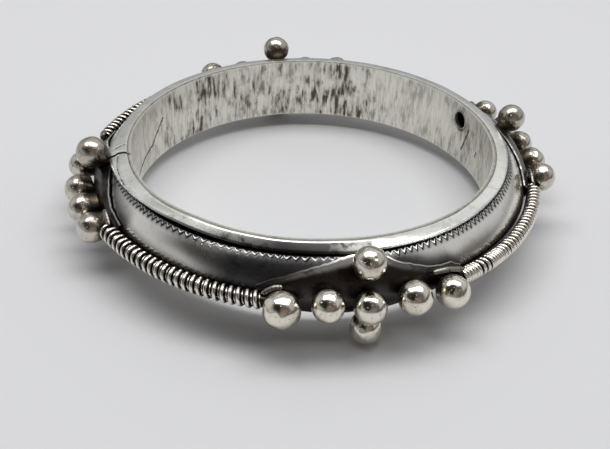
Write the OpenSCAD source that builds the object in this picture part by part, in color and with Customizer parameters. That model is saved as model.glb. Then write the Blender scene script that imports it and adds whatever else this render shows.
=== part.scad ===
// A hollow silver bangle that lies flat. The origin is the middle of the wrist opening, Z is its axis
// and -Y is the front. Half the bangle is above the equator (Z = 0) and half is its mirror below.

/* [Inner band] */
// Radius of the wrist opening
wrist_r = 30; // [27:0.5:34]
// Height of the band from edge to edge
band_h = 11; // [10.5:0.1:12]
// Thickness of the band's sheet
band_t = 0.55; // [0.4:0.05:0.7]
// Diameter of the vent hole in the band
vent_d = 3.1; // [2:0.1:4]
// Direction of the vent hole, seen from the centre
vent_az = 27.3; // [20:0.5:40]
// Height of the vent hole above the equator
vent_z = 2.5; // [1:0.1:3]

/* [Rims] */
// Outer radius of a rim, from the wrist opening's wall
rim_reach = 2.5; // [2.3:0.05:2.6]
// Thickness of the rim strip
rim_t = 0.75; // [0.6:0.05:0.85]
// Radius of the rim's rounded outer corner
rim_round = 0.6; // [0.3:0.05:0.6]
// Width of the open butt joint in the upper rim
joint_w = 0.25; // [0.15:0.05:0.4]
// Direction of the butt joint
joint_az = 193; // [185:1:200]

/* [Shells] */
// Where a shell meets the equator, from the wrist opening's wall
shell_reach = 5.82; // [5.7:0.02:5.86]
// Where a shell meets the rim, from the wrist opening's wall
shell_top_reach = 2.35; // [2.2:0.05:2.4]
// How far a shell bulges from the straight line between its edges
shell_bulge = 0.5; // [0.3:0.05:0.6]
// Thickness of the shells' sheet
shell_t = 0.45; // [0.3:0.05:0.5]

/* [Ball plates] */
// The ridge of a plate at the equator, from the wrist opening's wall
plate_reach = 6.42; // [6.3:0.02:6.6]
// The top point of a plate, from the wrist opening's wall
plate_top_reach = 2.9; // [2.85:0.05:3]
// Height of the top point of a plate above the equator
plate_top_z = 4.95; // [4.8:0.05:5]
// How far a plate bulges from the straight line between its ridge and its top
plate_bulge = 0.85; // [0.7:0.05:0.9]
// Thickness of the plates' sheet
plate_t = 0.4; // [0.3:0.05:0.45]
// Half the length of a plate between its cut tips
plate_half = 13.9; // [13:0.1:14]
// Half the height of a plate's cut tips
tip_half = 1.45; // [1:0.05:1.8]
// Slope of the surface under the upper ball, from level
ball_lift = 48; // [46:0.5:50]
// How far a ball sinks into the plate
ball_sink = 0.08; // [0.04:0.01:0.12]
// Radius of the solder round a ball's foot
foot_r = 0.9; // [0.6:0.05:1.1]

/* [Coils] */
// Radius of a coil's centre line, from the wrist opening's wall
coil_reach = 7.32; // [7.3:0.01:7.4]
// Radius of the core wire
core_r = 0.64; // [0.62:0.01:0.66]
// Radius of the wire that is wound on three of the cores
wire_r = 0.42; // [0.4:0.01:0.44]
// Distance from one of its turns to the next
turn_pitch = 1.2; // [1.15:0.01:1.3]
// Radius of the finer wire at the front right
fine_wire_r = 0.38; // [0.36:0.01:0.4]
// Distance from one of its turns to the next
fine_pitch = 0.92; // [0.85:0.01:1]
// Lean of each turn, as a wound wire has it
turn_lean = 10; // [0:1:12]
// Angle from a station to the ends of the coils on its two sides
coil_end = 23.1; // [23:0.1:24]

/* [Hidden] */

// The four stations, counter-clockwise from the front.
// Columns: azimuth, radius of the upper ball, the five balls along the equator.
AZ = 0;
TOP_R = 1;
ROW = 2;
// Each ball of a row was set by eye, so none is quite in line.
// Columns: angle from the station, height above the equator, radius.
TURN = 0;
RISE = 1;
BALL_R = 2;
STATIONS = [
    [-76.6, 2.44, [
        [-18.8, 0, 2.68], [-9.35, 0.38, 2.41], [-0.5, 0, 2.4], [9.35, 0.15, 2.5], [18.9, -0.32, 2.5],
    ]],
    [14.9, 2.32, [
        [-19.2, 0.6, 2.38], [-7.6, -0.2, 2.34], [1.2, -0.2, 2.38], [9.4, 0, 2.36], [18.2, 0.1, 2.29],
    ]],
    [101.8, 2.42, [
        [-18.7, 0.15, 2.38], [-9.35, 0, 2.42], [0, 0, 2.36], [9.35, 0, 2.4], [18.9, 0.3, 2.44],
    ]],
    [191.1, 2.56, [
        [-17.2, -0.15, 2.36], [-9, 0, 2.36], [0.9, -0.3, 2.44], [10.2, -0.1, 2.42], [17.9, -0.5, 2.42],
    ]],
];
FRONT = 0;
RIGHT = 1;
BACK = 2;
LEFT = 3;
// All four lower balls carry the bangle, so they are alike.
foot_ball_r = 2.5;

SEAM = 0.05;
REACH = 100;
band_half = band_h / 2;
rim_floor = band_half - rim_t;
shell_top = [wrist_r + shell_top_reach, rim_floor - SEAM];
shell_end = [wrist_r + shell_reach, 0];
plate_top = [wrist_r + plate_top_reach, plate_top_z];
plate_end = [wrist_r + plate_reach, 0];
coil_r = wrist_r + coil_reach;
turn_sink = 0.09;
silver = [0.80, 0.79, 0.77];
bright_silver = [0.88, 0.87, 0.85];
dark_silver = [0.62, 0.61, 0.60];

// An arc from a to b that bulges outwards: its radius, and its centre.
function arc_radius(a, b, bulge) = (pow(norm(b - a) / 2, 2) + pow(bulge, 2)) / (2 * bulge);
function outward(a, b) = [a[1] - b[1], b[0] - a[0]] / norm(b - a);
function arc_centre(a, b, bulge) = (a + b) / 2 - outward(a, b) * (arc_radius(a, b, bulge) - bulge);

plate_radius = arc_radius(plate_top, plate_end, plate_bulge);
plate_centre = arc_centre(plate_top, plate_end, plate_bulge);

module silver_part(shade = silver) {
    color(shade) children();
}

// The half plane above the equator and outside the band, where the body's sections lie.
module outer_quarter(low, high) {
    translate([wrist_r + band_t + SEAM, low]) square([REACH, high - low]);
}

// The space inside a sheet that is bent over the equator, in section.
module bent_section(a, b, bulge, inset) {
    r = arc_radius(a, b, bulge) - inset;
    c = arc_centre(a, b, bulge);
    intersection() {
        translate([c[0], c[1]]) circle(r, $fn = 180);
        translate([c[0], -c[1]]) circle(r, $fn = 180);
    }
}

// Inner band

module inner_band() silver_part(dark_silver) {
    difference() {
        translate([0, 0, -band_half]) cylinder(h = band_h, r = wrist_r + band_t, $fn = 180);
        translate([0, 0, -band_half - 1]) cylinder(h = band_h + 2, r = wrist_r, $fn = 180);
        rotate([0, 0, vent_az]) translate([wrist_r - 1, 0, vent_z]) rotate([0, 90, 0])
            cylinder(h = 3, r = vent_d / 2, $fn = 48);
    }
}

// Rims

module rim_section() {
    inner = wrist_r + band_t + SEAM;
    outer = wrist_r + rim_reach;
    translate([inner, rim_floor]) square([outer - rim_round - inner, rim_t]);
    translate([inner, rim_floor]) square([outer - inner, rim_t - rim_round]);
    intersection() {
        translate([outer - rim_round, band_half - rim_round]) circle(rim_round, $fn = 48);
        translate([inner, rim_floor]) square([outer - inner, rim_t]);
    }
}

module rim_ring() {
    rotate_extrude($fn = 180) rim_section();
}

module upper_rim() silver_part(bright_silver) {
    difference() {
        rim_ring();
        rotate([0, 0, joint_az]) translate([wrist_r, -joint_w / 2, 0])
            cube([rim_reach + 1, joint_w, band_h]);
    }
}

module lower_rim() silver_part(bright_silver) {
    mirror([0, 0, 1]) rim_ring();
}

// Shells

module shell_section() {
    difference() {
        intersection() {
            bent_section(shell_top, shell_end, shell_bulge, 0);
            outer_quarter(SEAM / 2, shell_top[1]);
        }
        bent_section(shell_top, shell_end, shell_bulge, shell_t);
    }
}

module shell() silver_part() {
    rotate_extrude($fn = 180) shell_section();
}

module upper_shell() {
    shell();
}

module lower_shell() {
    mirror([0, 0, 1]) shell();
}

// Ball plates

// The plate's outline, seen from outside: a lozenge whose tips are cut off at the coils.
module plate_outline() {
    polygon([
        [0, plate_top_z], [plate_half, tip_half], [plate_half, -tip_half],
        [0, -plate_top_z], [-plate_half, -tip_half], [-plate_half, tip_half],
    ]);
}

module plate_sheet() {
    sweep = 60;
    intersection() {
        rotate([0, 0, -sweep / 2]) rotate_extrude(angle = sweep, $fn = 180) difference() {
            bent_section(plate_top, plate_end, plate_bulge, 0);
            bent_section(plate_top, plate_end, plate_bulge, plate_t);
            translate([0, -band_h]) square([wrist_r + rim_reach + 2 * SEAM, 2 * band_h]);
        }
        rotate([90, 0, 90]) linear_extrude(height = 2 * wrist_r) plate_outline();
    }
}

// A ball on its solder foot. The plate's surface passes through the origin and faces +X.
module soldered_ball(r) {
    translate([r - ball_sink, 0, 0]) sphere(r, $fn = 64);
    translate([-plate_t / 2, 0, 0]) rotate([0, 90, 0]) cylinder(h = r, r = foot_r, $fn = 32);
}

// A ball above the equator, where the plate's surface has the given slope.
module lifted_ball(r, slope) {
    reach = plate_centre[0] + plate_radius * cos(slope);
    height = plate_centre[1] + plate_radius * sin(slope);
    translate([reach, 0, height]) rotate([0, -slope, 0]) soldered_ball(r);
}

// The plate's slope at a height above the equator.
function slope_at(height) = asin((height - plate_centre[1]) / plate_radius);

// A ball of the row along the equator.
module row_ball(ball) {
    if (ball[RISE] == 0)
        translate([plate_end[0], 0, 0]) soldered_ball(ball[BALL_R]);
    else
        mirror([0, 0, ball[RISE] < 0 ? 1 : 0]) lifted_ball(ball[BALL_R], slope_at(abs(ball[RISE])));
}

module ball_plate(station) silver_part(bright_silver) {
    rotate([0, 0, station[AZ]]) {
        plate_sheet();
        lifted_ball(station[TOP_R], ball_lift);
        mirror([0, 0, 1]) lifted_ball(foot_ball_r, ball_lift);
        for (ball = station[ROW])
            rotate([0, 0, ball[TURN]]) row_ball(ball);
    }
}

module front_ball_plate() {
    ball_plate(STATIONS[FRONT]);
}

module right_ball_plate() {
    ball_plate(STATIONS[RIGHT]);
}

module back_ball_plate() {
    ball_plate(STATIONS[BACK]);
}

module left_ball_plate() {
    ball_plate(STATIONS[LEFT]);
}

// Coils

module turn(wire) {
    rotate([90, 0, 0]) rotate([turn_lean, 0, 0])
        rotate_extrude($fn = 48) translate([core_r + wire - turn_sink, 0]) circle(wire, $fn = 24);
}

// A coil from one station to the next, of wire with the given radius and pitch.
module coil(from, to, wire = wire_r, pitch = turn_pitch) silver_part() {
    start = from[AZ] + coil_end;
    turn_back = to[AZ] < from[AZ] ? 360 : 0;
    finish = to[AZ] + turn_back - coil_end;
    pitch_angle = pitch / coil_r * 180 / PI;
    turns = floor((finish - start) / pitch_angle);
    step = (finish - start) / turns;
    rotate([0, 0, start]) rotate_extrude(angle = finish - start, $fn = 180)
        translate([coil_r, 0]) circle(core_r, $fn = 24);
    for (i = [0 : turns - 1])
        rotate([0, 0, start + (i + 0.5) * step]) translate([coil_r, 0, 0]) turn(wire);
}

module front_right_coil() {
    coil(STATIONS[FRONT], STATIONS[RIGHT], fine_wire_r, fine_pitch);
}

module back_right_coil() {
    coil(STATIONS[RIGHT], STATIONS[BACK]);
}

module back_left_coil() {
    coil(STATIONS[BACK], STATIONS[LEFT]);
}

module front_left_coil() {
    coil(STATIONS[LEFT], STATIONS[FRONT]);
}

inner_band();
upper_rim();
lower_rim();
upper_shell();
lower_shell();
front_ball_plate();
right_ball_plate();
back_ball_plate();
left_ball_plate();
front_right_coil();
back_right_coil();
back_left_coil();
front_left_coil();
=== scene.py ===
import bpy
import numpy as np
from mathutils import Matrix, Vector


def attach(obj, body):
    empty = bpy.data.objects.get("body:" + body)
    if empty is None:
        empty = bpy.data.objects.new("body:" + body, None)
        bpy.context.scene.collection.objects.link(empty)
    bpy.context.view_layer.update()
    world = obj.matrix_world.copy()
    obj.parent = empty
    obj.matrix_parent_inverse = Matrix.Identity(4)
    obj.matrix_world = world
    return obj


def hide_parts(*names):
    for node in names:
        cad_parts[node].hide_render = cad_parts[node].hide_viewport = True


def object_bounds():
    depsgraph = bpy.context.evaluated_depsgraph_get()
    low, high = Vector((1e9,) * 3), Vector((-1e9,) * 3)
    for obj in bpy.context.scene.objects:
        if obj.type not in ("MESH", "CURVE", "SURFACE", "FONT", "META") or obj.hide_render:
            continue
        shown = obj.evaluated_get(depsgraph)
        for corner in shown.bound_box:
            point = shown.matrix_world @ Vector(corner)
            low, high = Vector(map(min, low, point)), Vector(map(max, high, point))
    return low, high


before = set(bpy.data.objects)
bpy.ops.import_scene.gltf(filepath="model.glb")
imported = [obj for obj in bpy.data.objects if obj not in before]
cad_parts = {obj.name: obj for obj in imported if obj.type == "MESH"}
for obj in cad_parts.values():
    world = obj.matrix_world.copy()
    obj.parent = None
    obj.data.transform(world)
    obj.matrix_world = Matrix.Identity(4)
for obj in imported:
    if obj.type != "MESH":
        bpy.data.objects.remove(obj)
cad_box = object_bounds()

# Sizes below are millimetres and degrees, in the frame's own axes. Every mesh is made in metres.
MM = 0.001

# Sections of the bangle, as the solids have them. SEAM is left between two sheets that lie together.
WRIST_R = 30.0
BAND_T = 0.55
BAND_HALF = 5.5
RIM_T = 0.75
SEAM = 0.05
SHELL_TOP = (32.35, 4.70)
SHELL_END = (35.82, 0.0)
SHELL_BULGE = 0.5
SHELL_T = 0.45
PLATE_TOP = (32.9, 4.95)
PLATE_END = (36.42, 0.0)
PLATE_BULGE = 0.85
# The plates' sheet, thinner here than in the solids so that its edges lie close to the shells
PLATE_T = 0.24

# Millimetres to a degree, along the wrist side and along the middle of a plate
WRIST_DEGREE = np.radians(1) * WRIST_R
PLATE_DEGREE = 0.63

# Vent hole
VENT_R = 1.55
VENT_AZ = 27.3
VENT_Z = 2.5

# The four stations: azimuth, radius of the upper ball, and the five balls along the equator.
# A ball of the row has its angle from the station, its height above the equator and its radius.
STATION_AZ = {"front": -76.6, "right": 14.9, "back": 101.8, "left": 191.1}
UPPER_BALL_R = {"front": 2.44, "right": 2.32, "back": 2.42, "left": 2.56}
BALL_ROWS = {
    "front": ((-18.8, 0, 2.68), (-9.35, 0.38, 2.41), (-0.5, 0, 2.4), (9.35, 0.15, 2.5), (18.9, -0.32, 2.5)),
    "right": ((-19.2, 0.6, 2.38), (-7.6, -0.2, 2.34), (1.2, -0.2, 2.38), (9.4, 0, 2.36), (18.2, 0.1, 2.29)),
    "back": ((-18.7, 0.15, 2.38), (-9.35, 0, 2.42), (0, 0, 2.36), (9.35, 0, 2.4), (18.9, 0.3, 2.44)),
    "left": (
        (-17.2, -0.15, 2.36), (-9, 0, 2.36), (0.9, -0.3, 2.44), (10.2, -0.1, 2.42), (17.9, -0.5, 2.42),
    ),
}
FOOT_BALL_R = 2.5
BALL_LIFT = 48.0
BALL_SINK = 0.08
BALL_SIDES = 80
# How wide the solder is round the feet of each station's balls
SOLDER_R = {"front": 0.85, "right": 1.1, "back": 0.85, "left": 1.75}

# A plate's edge: height above the equator at each angle from the station, on its two sides
PLATE_EDGES = {
    "front": (
        ((0, 4.95), (3, 4.92), (6, 4.71), (10.9, 4.19), (15.6, 3.63), (17.8, 3.09), (22.2, 2.28),
         (25.3, 1.5)),
        ((0, 4.95), (3, 4.90), (5.8, 4.45), (7.3, 4.09), (9.5, 3.61), (11.9, 3.16), (16.1, 2.36),
         (18.3, 2.14), (21.8, 2.06), (24.4, 1.1)),
    ),
    "right": (
        ((0, 4.95), (3, 4.90), (6, 4.5), (11, 3.6), (16, 2.7), (20, 2.1), (24.8, 1.3)),
        ((0, 4.95), (3, 4.90), (6, 4.55), (11, 3.7), (16, 2.8), (20, 2.0), (24.8, 1.2)),
    ),
    "back": (
        ((0, 4.95), (3, 4.90), (6, 4.6), (11, 3.8), (15, 2.8), (20, 2.2), (24.8, 1.3)),
        ((0, 4.95), (3, 4.88), (6, 4.4), (11, 3.5), (16, 2.6), (20, 1.9), (24.8, 1.2)),
    ),
    "left": (
        ((0, 4.62), (3, 4.60), (6, 4.35), (11, 3.5), (16, 2.6), (20, 2.0), (24.8, 1.3)),
        ((0, 4.62), (3, 4.60), (5.2, 4.41), (8, 3.98), (11.4, 3.42), (14.1, 2.85), (16.5, 2.33),
         (19.6, 1.87), (24.8, 1.2)),
    ),
}

# How far each plate is tarnished, from 0 to 1
PLATE_TONE = {"front": 0.96, "right": 0.78, "back": 0.75, "left": 0.96}

# How wide the worn metal along each plate's edge is, and how raised the edge is, as a share of the middle
PLATE_WORN = {"front": 0.14, "right": 0.2, "back": 0.2, "left": 0.15}
PLATE_LIFT = {"front": 0.4, "right": 0.15, "back": 0.15, "left": 0.3}

# How far each station's balls are tarnished, and how much more the upper one is
BALL_TONE = {"front": 0.06, "right": 0.28, "back": 0.32, "left": 0.30}
UPPER_BALL_TONE = 0.14

# Radius where a rim's level inner part ends and its slope begins, and the rows of points on its top
RIM_CREST = 30.85
RIM_TOP_ROWS = 19
# How far each rim's outer edge stands from the wrist opening's wall, by azimuth
UPPER_RIM_REACH = (
    (0, 2.5), (60, 2.45), (120, 2.5), (172, 2.5), (179, 2.55), (184, 3.15), (188, 3.4), (197, 3.4),
    (203, 3.2), (209.5, 2.9), (220, 2.4), (232, 1.95), (246, 1.85), (264, 1.9), (280, 2.2), (300, 2.45),
)
LOWER_RIM_REACH = ((0, 2.5), (90, 2.45), (180, 2.55), (270, 2.45))
# How far the upper rim's outer edge is rounded down, by azimuth, and the lower rim's all round
RIM_DROP = (
    (0, 0.3), (50, 0.15), (130, 0.15), (185, 0.2), (212, 0.3), (232, 0.65), (246, 0.9), (280, 0.9),
    (292, 0.5), (320, 0.3),
)
LOWER_RIM_DROP = 0.3
# How far the upper edge of the wrist side is pressed inwards, by azimuth
FRONT_PRESS = ((218, 0), (236, 0.36), (278, 0.38), (296, 0.2), (315, 0))
# How far it is raised there, as a share of that
PRESS_RISE = 0.75

# The open joint across the upper rim
CRACK_AZ = 193.0
CRACK_W = 0.34

# How dark the upper rim's slope is painted at the front, by azimuth: a painted dark reflection of the room
# on the camera's side
RIM_DARK_REFLECTION = (
    (216, 0), (224, 0.45), (232, 0.68), (240, 0.74), (248, 0.8), (255, 0.92), (262, 1.0), (273, 1.0),
    (277, 0.92), (280, 0.8), (286, 0.76), (289.5, 0.1), (294, 0),
)

# Scratched and creased lines on the upper rim, as radius and azimuth, and the radius of their flat map
RIM_MARKS = (
    ((32.5, 188.7), (31.1, 186.5)),
    ((32.15, 193.2), (32.7, 200.6), (32.84, 208.4)),
)
RIM_MARK_R = 32.0

# Columns of the wrist side's band, and its rows up the wrist side and down the hidden side
BAND_COLUMNS = 1000
WALL_ROWS = 58
HIDDEN_ROWS = 4

# How strong the dark upright streaks of the wrist side are, by azimuth
BAND_STAIN = (
    (0, 0.45), (15, 0.6), (43, 0.45), (60, 0.5), (70, 1.0), (78, 1.2), (90, 1.1), (102, 0.85),
    (110, 0.8), (122, 0.9), (133, 1.1), (142, 1.2), (150, 0.8), (162, 0.4), (200, 0.25), (300, 0.4),
)

# How evenly tarnished it is, by azimuth
BAND_TONE = (
    (0, 0.08), (20, 0.14), (35, 0.05), (55, 0.0), (80, 0.05), (120, 0.05), (150, 0.0), (210, 0.0),
    (300, 0.1),
)

# Scratches on the wrist side, as azimuth and height
BAND_MARKS = (
    ((153.9, 1.6), (157.5, -0.2), (161.5, -2.0), (168.6, -2.8), (174.8, -4.0)),
    ((21.2, 2.1), (24.6, -2.8)),
    ((14.4, -0.6), (15.0, -1.6)),
    ((192.9, 5.0), (192.9, 5.5)),
)

# Engraved zigzag: at each azimuth, the pitch of its teeth and how far below the rim they begin and end
ZIGZAG = (
    (0, 1.05, 0.35, 1.15), (90, 1.05, 0.35, 1.15), (180, 1.0, 0.4, 1.2), (215, 1.0, 0.3, 1.15),
    (228, 1.15, 0.35, 1.05), (240, 1.4, 0.35, 0.95), (262, 1.3, 0.35, 0.95), (290, 1.05, 0.3, 1.15),
)
ZIGZAG_HALF_W = 0.125
ZIGZAG_DEPTH = 0.036
# Across a stroke of the zigzag: places from its middle, and how deep it is cut there
STROKE_PLACES = np.array([-1.6, -1.2, -0.9, -0.45, 0, 0.45, 0.9, 1.2, 1.6]) * ZIGZAG_HALF_W
STROKE_DEPTHS = np.array([0, 0, 0.15, 0.75, 1, 0.75, 0.15, 0, 0]) * ZIGZAG_DEPTH
TOOTH_COLUMNS = 10
# Where the zigzag is cut faint with its grooves painted lighter, a painted highlight where they catch the
# light, and where the painted shade beside a plate spreads far from it
FAINT_AZ = 252
SHADE_AZ = 213

# Coils: radius of their centre line, and the angle from a station to where they begin
COIL_R = 37.32
COIL_END = 23.1
CORE_R = 0.72
# The heavy wire on most cores, the thin one between its turns, and the finer wire of the front right
# coil. phase is a share of a turn, and dark and the flank setting are painted shade, all over the wire and
# on its flanks.
HEAVY_WIRE = {"wire_r": 0.31, "turn_r": 1.08}
THIN_WIRE = {"wire_r": 0.17, "turn_r": 0.86, "phase": 0.5, "dark": 0.45}
FINE_WIRE = {"wire_r": 0.27, "turn_r": 0.99, "flank_shade": 0.35}
# The finer wire's pitch at each share of the way
FINE_PITCH = (
    (0, 0.55), (0.09, 0.57), (0.11, 0.95), (0.19, 0.95), (0.21, 0.5), (0.28, 0.5), (0.31, 0.85),
    (0.7, 0.9), (1, 0.95),
)
# Each coil: the stations it joins, the pitch of its wire, and how many degrees the flattened ends of
# its core run on over the plates
COILS = {
    "front_right_coil": ("front", "right", FINE_PITCH, (7.6, 4.5)),
    "back_right_coil": ("right", "back", ((0, 1.15),), (4.0, 4.0)),
    "back_left_coil": ("back", "left", ((0, 1.12),), (4.0, 4.0)),
    "front_left_coil": ("left", "front", ((0, 1.21),), (4.5, 4.0)),
}
TONGUE_HALF_W = 0.42
TONGUE_HALF_T = 0.24
TONGUE_TONE = 0.7
NICK_PITCH = 0.45

# The dark oval room behind the camera: the height of its middle in degrees, and its half width and
# half height as sines
ROOM_TILT = 46.0
ROOM_HALF_W = 1.0
ROOM_HALF_H = 0.63
# How far its middle lies to the right, and how far it sinks towards the right
ROOM_SHIFT = -0.04
ROOM_LEAN = 0.15
# Its colours: at the left, at the right, at the far right, and high up
ROOM_LEFT = (0.036, 0.033, 0.028)
ROOM_RIGHT = (0.57, 0.42, 0.34)
ROOM_FAR_RIGHT = (0.22, 0.175, 0.14)
ROOM_HIGH = (0.24, 0.23, 0.225)

# The studio round it, where it is dim, where it is bright, and low at the right
SKY_DIM = (0.46, 0.465, 0.48)
SKY_BRIGHT = (1.65, 1.66, 1.68)
SKY_LOW_RIGHT = (0.14, 0.12, 0.11)
SKY_STRENGTH = 0.46

# Floor and light panel, in metres and watts
FLOOR_HALF = 3.0
FLOOR_COLOUR = (0.675, 0.678, 0.69)
KEY_SIZE = (0.85, 0.33)
KEY_AT = (0.0, 0.05, 0.6)
KEY_ENERGY = 3.55

# Camera, fitted to the photograph's 610 pixels of width
CAMERA_AT = (-0.79, -145.82, 86.62)
CAMERA_DOWN = 34.036
CAMERA_ROLL = 1.561
FOCAL_PIXELS = 993.66
PHOTO_WIDTH = 610
SENSOR_WIDTH = 36.0

UP = np.array([0.0, 0.0, 1.0])


# Small helpers


def polar(radius, azimuth, height):
    """Points in metres, from a radius and a height in millimetres and an azimuth in degrees."""
    angle = np.radians(azimuth)
    x, y, z = np.broadcast_arrays(radius * np.cos(angle), radius * np.sin(angle), height)
    return np.stack([x, y, z], axis=-1) * MM


def wobble(azimuth, waves, seed):
    """A smooth random offset that closes round the bangle: a sum of waves from 2 to the given number."""
    rng = np.random.default_rng(seed)
    angle = np.radians(azimuth)
    total = np.zeros_like(angle)
    for k in range(2, waves + 1):
        total = total + np.cos(k * angle + rng.uniform(0, 2 * np.pi)) / k**0.5
    return total * 0.03 / np.sqrt(np.log(waves))


def ripple(points, size, length, seed, stretch=(1, 1, 1)):
    """A smooth random offset in space, for hand-worked surfaces. Length is that of its waves, in mm."""
    rng = np.random.default_rng(seed)
    flat = points / MM / np.array(stretch)
    total = np.zeros(points.shape[:-1])
    for _ in range(9):
        direction = rng.normal(size=3)
        direction *= 2 * np.pi / (length * rng.uniform(0.7, 1.6)) / np.linalg.norm(direction)
        total = total + np.sin(flat @ direction + rng.uniform(0, 2 * np.pi))
    return total * size / 3


def circle(count):
    """That many angles, evenly spread over a full turn."""
    return np.linspace(0, 2 * np.pi, count, endpoint=False)


def smooth(x, low, high):
    """0 below low, 1 above high, and a smooth step between them."""
    t = np.clip((x - low) / (high - low), 0, 1)
    return t * t * (3 - 2 * t)


def drawn_lines(u, v, lines, width):
    """1 along the lines of a flat map, which are made of straight pieces, and 0 that far from them."""
    nearest = np.full(np.broadcast(u, v).shape, np.inf)
    for line in lines:
        for a, b in zip(line[:-1], line[1:]):
            step = np.array(b) - np.array(a)
            share = np.clip(((u - a[0]) * step[0] + (v - a[1]) * step[1]) / (step @ step), 0, 1)
            away = np.hypot(u - a[0] - share * step[0], v - a[1] - share * step[1])
            nearest = np.minimum(nearest, away)
    return 1 - smooth(nearest, 0.05, width)


def by_azimuth(azimuth, table, column=1):
    """A column of a table whose rows begin with an azimuth, read between its rows all the way round."""
    rows = np.array(table)
    return np.interp(azimuth, rows[:, 0], rows[:, column], period=360)


class Arc:
    """An arc in a half plane of radius and height, from a to b, that bulges outwards."""

    def __init__(self, a, b, bulge):
        a, b = np.array(a), np.array(b)
        chord = np.linalg.norm(b - a)
        normal = np.array([a[1] - b[1], b[0] - a[0]]) / chord
        self.radius = ((chord / 2) ** 2 + bulge**2) / (2 * bulge)
        self.centre = (a + b) / 2 - normal * (self.radius - bulge)
        self.start = np.arctan2(a[1] - self.centre[1], a[0] - self.centre[0])
        end = np.arctan2(b[1] - self.centre[1], b[0] - self.centre[0])
        self.length = self.radius * (self.start - end)

    def at(self, along, inset):
        """Radius and height at a distance along the arc from a, and that far inside it."""
        angle = self.start - along / self.radius
        reach = self.radius - inset
        return self.centre[0] + reach * np.cos(angle), self.centre[1] + reach * np.sin(angle)

    def reach(self, height):
        """Radius of the arc at a height."""
        return self.centre[0] + np.sqrt(np.maximum(self.radius**2 - (height - self.centre[1]) ** 2, 0))

    def slope(self, height):
        """Angle of the outward direction above the horizontal, at a height."""
        return np.arcsin(np.clip((height - self.centre[1]) / self.radius, -1, 1))


SHELL_ARC = Arc(SHELL_TOP, SHELL_END, SHELL_BULGE)
PLATE_ARC = Arc(PLATE_TOP, PLATE_END, PLATE_BULGE)

# How far down the shell's arc its sheet begins and ends
SHELL_FIRST = 0.12
SHELL_LAST = SHELL_ARC.length - SEAM / 2


def grid_faces(rows, columns, wrap_rows=False, wrap_columns=False):
    """Four-sided faces of a grid of points, counted row by row."""
    r = np.arange(rows if wrap_rows else rows - 1)[:, None]
    c = np.arange(columns if wrap_columns else columns - 1)[None, :]
    r2, c2 = (r + 1) % rows, (c + 1) % columns
    corners = [r * columns + c, r * columns + c2, r2 * columns + c2, r2 * columns + c]
    return np.stack(np.broadcast_arrays(*corners), axis=-1).reshape(-1, 4).tolist()


def tube_faces(count, sides):
    """Faces of a tube of that many rings, with a lid at each end."""
    lids = [list(range(sides))[::-1], list(range((count - 1) * sides, count * sides))]
    return grid_faces(count, sides, wrap_columns=True) + lids


def new_piece(name, points, faces, material, node, slot, **attributes):
    """A smooth mesh piece that stands for a CAD node, with per-point attributes for its material."""
    mesh = bpy.data.meshes.new(name)
    mesh.from_pydata(points.reshape(-1, 3).tolist(), [], faces)
    for label, values in attributes.items():
        layer = mesh.attributes.new(label, "FLOAT", "POINT")
        values = np.broadcast_to(np.asarray(values, np.float32), points.shape[:-1])
        layer.data.foreach_set("value", values.ravel())
    mesh.polygons.foreach_set("use_smooth", [True] * len(mesh.polygons))
    mesh.materials.append(material)
    mesh.validate()
    piece = bpy.data.objects.new(name, mesh)
    bpy.context.scene.collection.objects.link(piece)
    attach(piece, "root")
    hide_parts(node)
    return piece


def sharpen(piece, angle):
    """Edges that turn more than the angle stay crisp."""
    piece.data.set_sharp_from_angle(angle=np.radians(angle))


# Materials


class Nodes:
    """The emptied node tree of a material or a world, and a short way to fill it."""

    def __init__(self, owner):
        owner.use_nodes = True
        self.tree = owner.node_tree
        self.tree.nodes.clear()
        self.places = self.add("ShaderNodeTexCoord").outputs

    def add(self, kind, **settings):
        node = self.tree.nodes.new(kind)
        for key, value in settings.items():
            setattr(node, key, value)
        return node

    def link(self, source, target):
        """Feeds an input from another node, or sets a colour or a number on it."""
        if isinstance(source, bpy.types.NodeSocket):
            self.tree.links.new(source, target)
        elif isinstance(source, tuple):
            target.default_value = (*source, 1.0)
        else:
            target.default_value = source

    def noise(self, per_mm, detail=3.0, rough=0.55, stretch=(1, 1, 1), twist=0.0):
        """Noise of about that many blotches a millimetre, longer along an axis whose scale is below 1."""
        mapping = self.add("ShaderNodeMapping")
        mapping.inputs["Scale"].default_value = stretch
        self.link(self.places["Object"], mapping.inputs["Vector"])
        noise = self.add("ShaderNodeTexNoise")
        self.link(mapping.outputs[0], noise.inputs["Vector"])
        noise.inputs["Scale"].default_value = per_mm / MM
        noise.inputs["Detail"].default_value = detail
        noise.inputs["Roughness"].default_value = rough
        noise.inputs["Distortion"].default_value = twist
        return noise.outputs[0]

    def attribute(self, label):
        return self.add("ShaderNodeAttribute", attribute_name=label).outputs["Fac"]

    def math(self, operation, a, b, clamp=False):
        node = self.add("ShaderNodeMath", operation=operation, use_clamp=clamp)
        self.link(a, node.inputs[0])
        self.link(b, node.inputs[1])
        return node.outputs[0]

    def plus(self, a, b, clamp=False):
        return self.math("ADD", a, b, clamp)

    def minus(self, a, b, clamp=False):
        return self.math("SUBTRACT", a, b, clamp)

    def times(self, a, b):
        return self.math("MULTIPLY", a, b)

    def ramp(self, value, low, high, out_low=0.0, out_high=1.0):
        """A smooth step of the value from low to high, between the two outputs."""
        node = self.add("ShaderNodeMapRange", interpolation_type="SMOOTHSTEP")
        self.link(value, node.inputs["Value"])
        limits = {"From Min": low, "From Max": high, "To Min": out_low, "To Max": out_high}
        for key, number in limits.items():
            node.inputs[key].default_value = number
        return node.outputs[0]

    def blend(self, share, a, b):
        """Colour a where share is 0 and b where it is 1."""
        node = self.add("ShaderNodeMix", data_type="RGBA")
        self.link(share, node.inputs[0])
        self.link(a, node.inputs[6])
        self.link(b, node.inputs[7])
        return node.outputs[2]


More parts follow.
